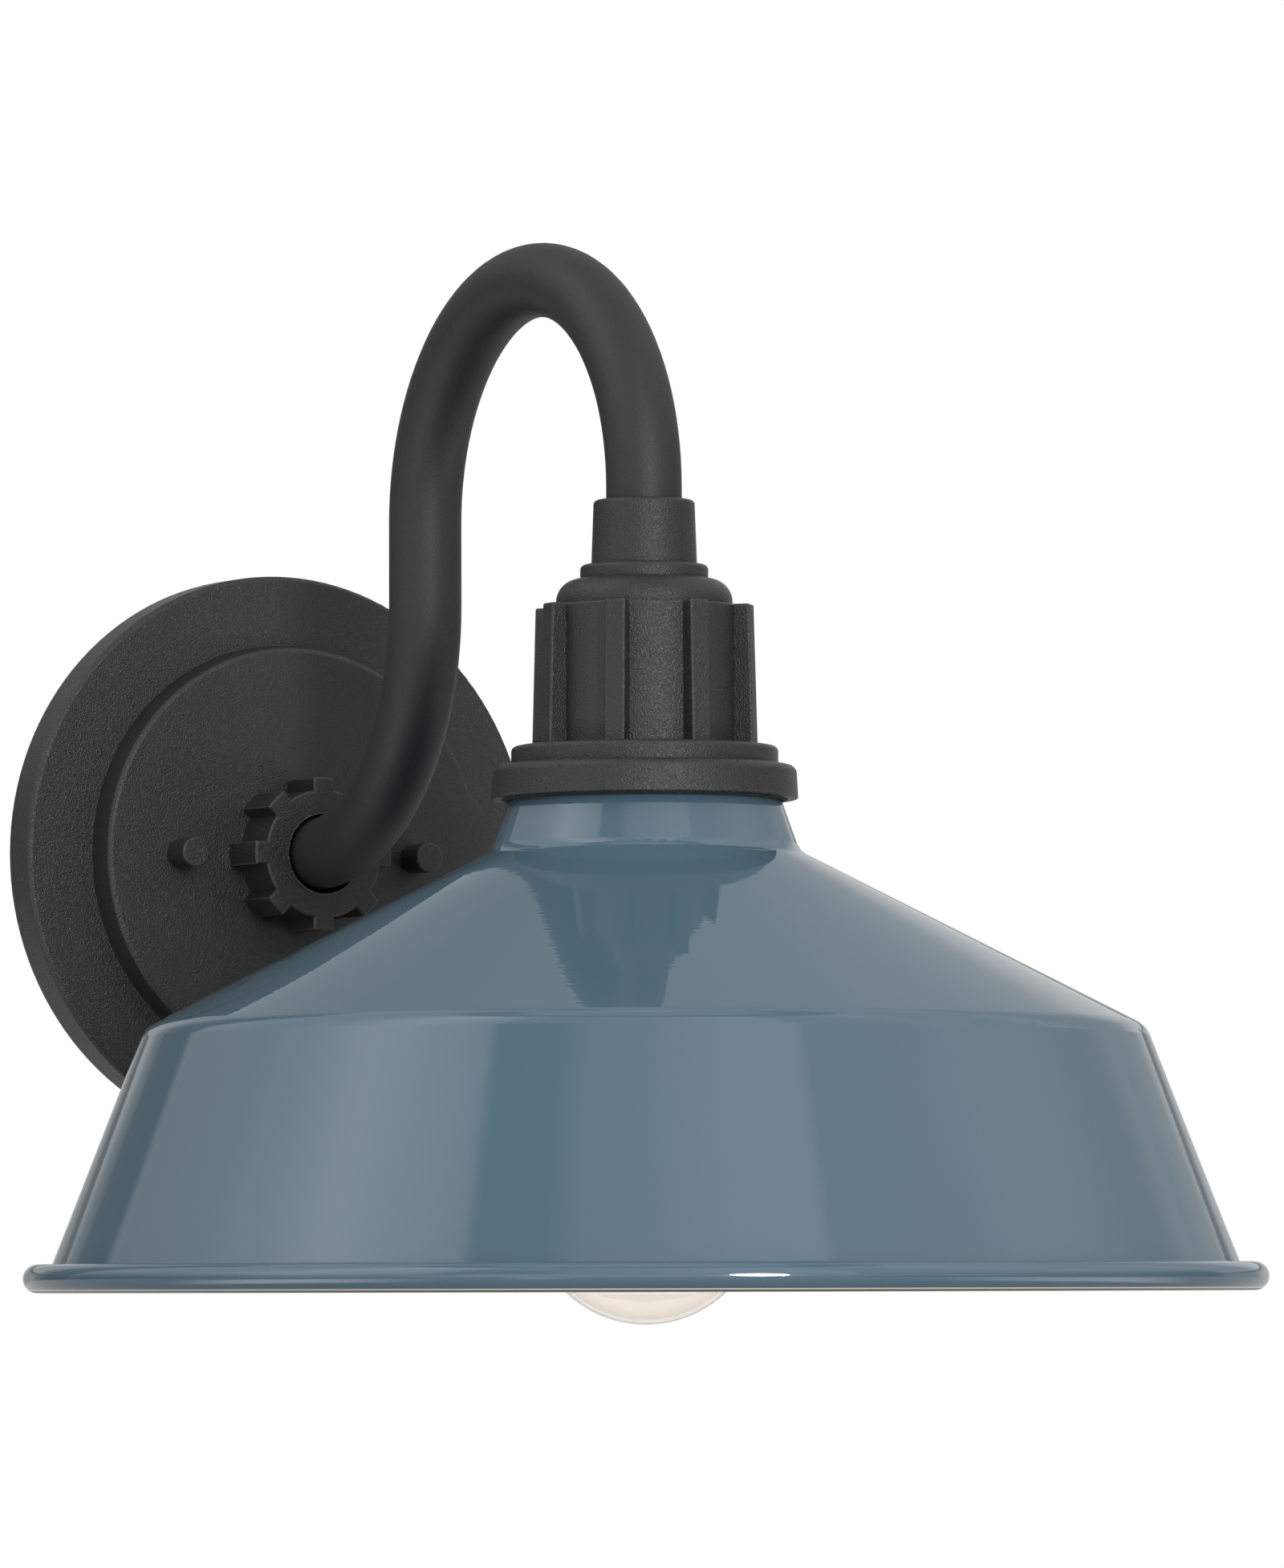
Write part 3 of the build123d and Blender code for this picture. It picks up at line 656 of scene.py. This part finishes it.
makeBase()
makeShell()

# Twisted copper strands that show at the cut end of each lead
strandSet = {
    "count": 7,
    "radius": 0.00026,
    "lay": 2.1,                      # from the middle strand to the others, in strand radii
    "offset": 0.0014,                # from the arm's centre line to the lead's
    "inside": 0.0009,                # how far inside the insulation the strands start
    "length": 0.00128,
    "turns": 0.35,
    "cutEnd": 0.75,                  # the cut ends are a little rounded
    "rings": 7,
    "steps": 10,
}


def makeStrands(lead, slot):
    low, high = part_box(lead)
    side = math.copysign(strandSet["offset"], low.x + high.x)
    rings, steps, radius = strandSet["rings"], strandSet["steps"], strandSet["radius"]
    points, faces = [], []
    for strand in range(strandSet["count"]):
        lay = 0.0 if strand == 0 else strandSet["lay"] * radius
        start = len(points)
        for ring in range(rings):
            share = ring / (rings - 1)
            angle = 2 * math.pi * (strand / (strandSet["count"] - 1) + strandSet["turns"] * share)
            reach = radius * (strandSet["cutEnd"] if ring == rings - 1 else 1.0)
            along = high.y - strandSet["inside"] + strandSet["length"] * share
            for k in range(steps):
                around = 2 * math.pi * k / steps
                points.append((side + lay * math.cos(angle) + reach * math.cos(around), along,
                               lay * math.sin(angle) + reach * math.sin(around)))
        for ring in range(rings - 1):
            near, far = start + ring * steps, start + (ring + 1) * steps
            for k in range(steps):
                m = (k + 1) % steps
                faces.append((near + m, near + k, far + k, far + m))
        faces.append(tuple(start + k for k in range(steps)))
        faces.append(tuple(start + (rings - 1) * steps + k for k in reversed(range(steps))))
    makePiece(lead.replace("lead", "strands"), points, faces, "bareCopper", "fixture", slot)


makeStrands("lead_live", "lead_black")
makeStrands("lead_neutral", "lead_white")
print("fine pieces made")


# Studio: white backdrop, soft panels all round, a lens-shaped lamp near the camera, pale floor
# Turns are degrees round the object, from the camera to the picture's right, rises are degrees above level
lampSet = {
    "turn": 20.0,
    "rise": 8.0,
    "away": 1.8,
    "size": (0.32, 0.74),
    "radiance": 22.0,
    "haloLevel": 4.6,                # soft edge of the lamp
    "haloTurn": (3.0, 14.0),
    "haloRise": (3.0, 9.0),
}
worldSet = {
    "backdrop": 1.0,                 # what the camera sees behind the object
    "rounds": (                      # turn, and level of the panels there
        (-180, 0.46), (-172, 0.40), (-165, 0.23), (-161, 0.24), (-156, 0.44), (-152, 0.40), (-149, 0.32),
        (-146, 0.17), (-134, 0.16), (-131, 0.98), (-119, 1.03), (-104, 1.18), (-88, 1.74), (-79, 2.38),
        (-71, 2.75), (-62, 2.48), (-53, 2.13), (-42, 1.60), (-38.5, 0.36), (-22, 0.36), (-15, 1.05),
        (0, 1.20), (20, 1.68), (39, 1.78), (42, 1.08), (62, 1.08), (87, 1.44), (119, 0.93), (131, 1.02),
        (139, 0.66), (152, 0.58), (180, 0.46)),
    "topLevel": 3.0,                 # level that the ramp's white stands for
    "frontMiddle": 8.0,              # panels in front of the object, the rest are at its sides
    "frontTurn": (20.0, 42.0),
    "lowRise": (4.0, -5.0),          # where panels at the sides and in front start to brighten
    "lowShare": (0.145, 0.58),       # what is left of their level below that
    "fullRise": 30.0,
    "behindTurn": (128.0, 138.0),    # room behind the object, and its far end
    "farTurn": (150.0, 160.0),
    "bandFoot": (5.2, 7.6),          # dark band above the horizon there
    "bandTop": (8.0, 8.8),
    "bandShare": 0.33,
    "underShare": 0.72,
    "dimRise": (19.0, 27.0),         # the far end dims a little higher up
    "dimShare": 0.79,
    "backShare": 0.30,               # more of the pale backdrop for glossy finishes, behind the object
    "lineLevel": 1.6,                # faint bright line a little above the horizon, on the camera's side
    "lineRise": (3.0, 7.0, 9.0, 13.0),
    "lineTurn": (60.0, 100.0),
    "frontLevel": 1.62,              # low soft light in front of the object
    "frontLightRise": (-8.0, 0.0, 14.0, 30.0),
    "frontLightMiddle": -6.0,
    "frontLightTurn": (22.0, 44.0),
    "fillLevel": 0.9,                # the dark gaps between the panels end below their tops
    "fillRise": (47.5, 50.0),
    "gapLevel": 0.30,                # a thin dark gap parts the panels from the ceiling
    "gapRise": (66.0, 69.0),
    "gapTurn": (138.0, 146.0),
    "skyLevel": 0.88,
    "skyRise": (74.0, 77.0),
}
floorSet = {
    "level": -0.26,
    "radius": 3.0,
    "steps": 96,
    "colour": 0.40,
    "toneSpread": 0.02,
    "cloud": 3.0,
    "white": 0.74,                   # how white the camera sees it
    "mirror": 0.22,                  # how much of that white the glossy finishes show
    "cards": (                       # white cards for the glossy finishes: turn, half width, from, to, level
        (-62.0, 34.0, 0.42, 0.80, 4.2), (80.0, 40.0, 0.44, 0.95, 3.0), (-18.5, 8.0, 0.80, 1.60, 2.2)),
    "cardEdges": (0.1, 0.7, 1.6),    # soft edges, as shares of half width, from and to
}


def levelAxes():
    right, _, ahead = cameraAxes()
    return Vector((right.x, right.y, 0.0)).normalized(), Vector((-ahead.x, -ahead.y, 0.0)).normalized()


def turnOf(tree, vector):
    toRight, toCamera = levelAxes()
    turn = mathOf(tree, "ARCTAN2", dotOf(tree, vector, toRight), dotOf(tree, vector, toCamera))
    return mathOf(tree, "DEGREES", turn)


def seenDirectly(tree, rays):
    # 1 for what the camera sees, plainly or through glass
    return mathOf(tree, "MAXIMUM", rays["Is Camera Ray"], rays["Is Transmission Ray"])


def panelLevel(tree, turn):
    # level of the panels round the object, from a colour ramp
    ramp = addNode(tree, "ShaderNodeValToRGB")
    stops = ramp.color_ramp.elements
    while len(stops) < len(worldSet["rounds"]):
        stops.new(0.5)
    for stop, (angle, level) in zip(stops, worldSet["rounds"]):
        stop.position = (angle + 180) / 360
        share = level / worldSet["topLevel"]
        stop.color = (share, share, share, 1.0)
    spread = addNode(tree, "ShaderNodeMapRange")
    for name, item in {"Value": turn, "From Min": -180.0, "From Max": 180.0}.items():
        feed(tree, spread.inputs[name], item)
    feed(tree, ramp.inputs["Fac"], spread.outputs["Result"])
    return productOf(tree, ramp.outputs["Color"], worldSet["topLevel"])


def roomShare(tree, rise, far):
    # what the room behind the object keeps of its level: dark above the horizon, dimmer at its far end
    band, under = worldSet["bandShare"], worldSet["underShare"]
    above = rampOf(tree, rise, *worldSet["bandTop"], band, 1.0)
    below = rampOf(tree, rise, *worldSet["bandFoot"], under, band)
    dim = rampOf(tree, rise, *worldSet["dimRise"], 1.0, worldSet["dimShare"])
    return productOf(tree, mathOf(tree, "MAXIMUM", above, below), mixValue(tree, far, 1.0, dim))


def sideShare(tree, turn, rise):
    # what the panels in front and at the sides keep: they fade slowly towards the horizon
    front = within(tree, awayFrom(tree, turn, worldSet["frontMiddle"]), *worldSet["frontTurn"])
    lowRise = mixValue(tree, front, *worldSet["lowRise"])
    lowShare = mixValue(tree, front, *worldSet["lowShare"])
    return rampOf(tree, rise, lowRise, worldSet["fullRise"], lowShare, 1.0)


def softLights(tree, turn, aside, rise):
    # bright line, low front light and the lamp's soft edge
    line = productOf(tree, bandOf(tree, rise, *worldSet["lineRise"]),
                     within(tree, aside, *worldSet["lineTurn"]), worldSet["lineLevel"])
    offFront = awayFrom(tree, turn, worldSet["frontLightMiddle"])
    front = productOf(tree, bandOf(tree, rise, *worldSet["frontLightRise"]),
                      within(tree, offFront, *worldSet["frontLightTurn"]), worldSet["frontLevel"])
    wide, tall = awayFrom(tree, turn, lampSet["turn"]), awayFrom(tree, rise, lampSet["rise"])
    halo = productOf(tree, within(tree, wide, *lampSet["haloTurn"]),
                     within(tree, tall, *lampSet["haloRise"]), lampSet["haloLevel"])
    return line, front, halo


def makeWorld():
    world = bpy.data.worlds.new("studio")
    bpy.context.scene.world = world
    world.use_nodes = True
    tree = world.node_tree
    background = next(n for n in tree.nodes if n.type == "BACKGROUND")
    direction = addNode(tree, "ShaderNodeTexCoord").outputs["Generated"]
    turn = turnOf(tree, direction)
    aside = mathOf(tree, "ABSOLUTE", turn)
    rise = mathOf(tree, "DEGREES", mathOf(tree, "ARCSINE", dotOf(tree, direction, upward)))
    behind = rampOf(tree, aside, *worldSet["behindTurn"])
    far = rampOf(tree, aside, *worldSet["farTurn"])
    room = roomShare(tree, rise, far)
    kept = mixValue(tree, behind, sideShare(tree, turn, rise), room)
    around = productOf(tree, panelLevel(tree, turn), kept)
    fill = productOf(tree, rampOf(tree, rise, *worldSet["fillRise"], 0.0, worldSet["fillLevel"]),
                     mathOf(tree, "SUBTRACT", 1.0, far))
    for light in (*softLights(tree, turn, aside, rise), fill):
        around = mathOf(tree, "MAXIMUM", around, light)
    gap = productOf(tree, rampOf(tree, rise, *worldSet["gapRise"]), within(tree, aside, *worldSet["gapTurn"]))
    around = mixValue(tree, gap, around, worldSet["gapLevel"])
    level = mixValue(tree, rampOf(tree, rise, *worldSet["skyRise"]), around, worldSet["skyLevel"])
    # behind the object, glossy finishes show the pale backdrop as well
    rays = addNode(tree, "ShaderNodeLightPath").outputs
    mirrored = productOf(tree, far, room, rays["Is Glossy Ray"], worldSet["backShare"])
    level = mathOf(tree, "ADD", level, mirrored)
    shown = mixValue(tree, seenDirectly(tree, rays), level, worldSet["backdrop"])
    feed(tree, background.inputs["Strength"], shown)
    feed(tree, background.inputs["Color"], (1.0, 1.0, 1.0, 1.0))


def makeLamp():
    wide, tall = lampSet["size"]
    data = bpy.data.lights.new("frontLamp", "AREA")
    data.shape = "ELLIPSE"
    data.size, data.size_y = wide, tall
    data.energy = lampSet["radiance"] * math.pi * math.pi / 4 * wide * tall
    lamp = bpy.data.objects.new("frontLamp", data)
    bpy.context.scene.collection.objects.link(lamp)
    toRight, toCamera = levelAxes()
    turn, rise = math.radians(lampSet["turn"]), math.radians(lampSet["rise"])
    level = toCamera * math.cos(turn) + toRight * math.sin(turn)
    away = level * math.cos(rise) + upward * math.sin(rise)
    lamp.location = lampAxis + away * lampSet["away"]
    lamp.rotation_euler = away.to_track_quat("Z", "Y").to_euler()
    lamp.visible_camera = False


def floorMirror(tree, place):
    # what the glossy finishes see of the floor: a faint white with soft white cards
    turn, away = turnOf(tree, place), vectorOf(tree, "LENGTH", place)
    inner, before, beyond = floorSet["cardEdges"]
    mirror = floorSet["mirror"]
    for middle, half, near, far, level in floorSet["cards"]:
        off = awayFrom(tree, turn, middle)
        across = rampOf(tree, off, inner * half, half, level, 0.0)
        along = bandOf(tree, away, before * near, near, far, beyond * far)
        mirror = mathOf(tree, "MAXIMUM", mirror, productOf(tree, across, along))
    return mirror


def makeFloor():
    radius, steps = floorSet["radius"], floorSet["steps"]
    ring = [2 * math.pi * k / steps for k in range(steps)]
    points = [(radius * math.cos(a), radius * math.sin(a), 0.0) for a in ring]
    mesh = bpy.data.meshes.new("floor")
    mesh.from_pydata(points, [], [tuple(range(steps))])
    floor = bpy.data.objects.new("floor", mesh)
    floor.location = (lampAxis.x, lampAxis.y, floorSet["level"])
    bpy.context.scene.collection.objects.link(floor)
    material, tree, shader = newMaterial("paleFloor", Roughness=0.9)
    place = objectPlace(tree)
    cloud = noiseOf(tree, place, floorSet["cloud"], detail=3.0)
    tones = mixTones(tree, cloud, (floorSet["colour"],) * 3, floorSet["toneSpread"])
    feed(tree, shader.inputs["Base Color"], tones)
    # the camera sees it nearly as white as the backdrop, and from below not at all
    rays = addNode(tree, "ShaderNodeLightPath").outputs
    mirrored = productOf(tree, rays["Is Glossy Ray"], floorMirror(tree, place))
    shown = mathOf(tree, "MAXIMUM", seenDirectly(tree, rays), mirrored)
    white = addNode(tree, "ShaderNodeEmission")
    feed(tree, white.inputs["Strength"], productOf(tree, shown, floorSet["white"]))
    both = addNode(tree, "ShaderNodeAddShader")
    feed(tree, both.inputs[0], shader.outputs[0])
    feed(tree, both.inputs[1], white.outputs[0])
    under = addNode(tree, "ShaderNodeMixShader")
    feed(tree, under.inputs[0], addNode(tree, "ShaderNodeNewGeometry").outputs["Backfacing"])
    feed(tree, under.inputs[1], both.outputs[0])
    feed(tree, under.inputs[2], addNode(tree, "ShaderNodeBsdfTransparent").outputs[0])
    output = next(n for n in tree.nodes if n.type == "OUTPUT_MATERIAL")
    feed(tree, output.inputs["Surface"], under.outputs[0])
    floor.data.materials.append(material)


makeWorld()
makeLamp()
makeFloor()
print("studio made")
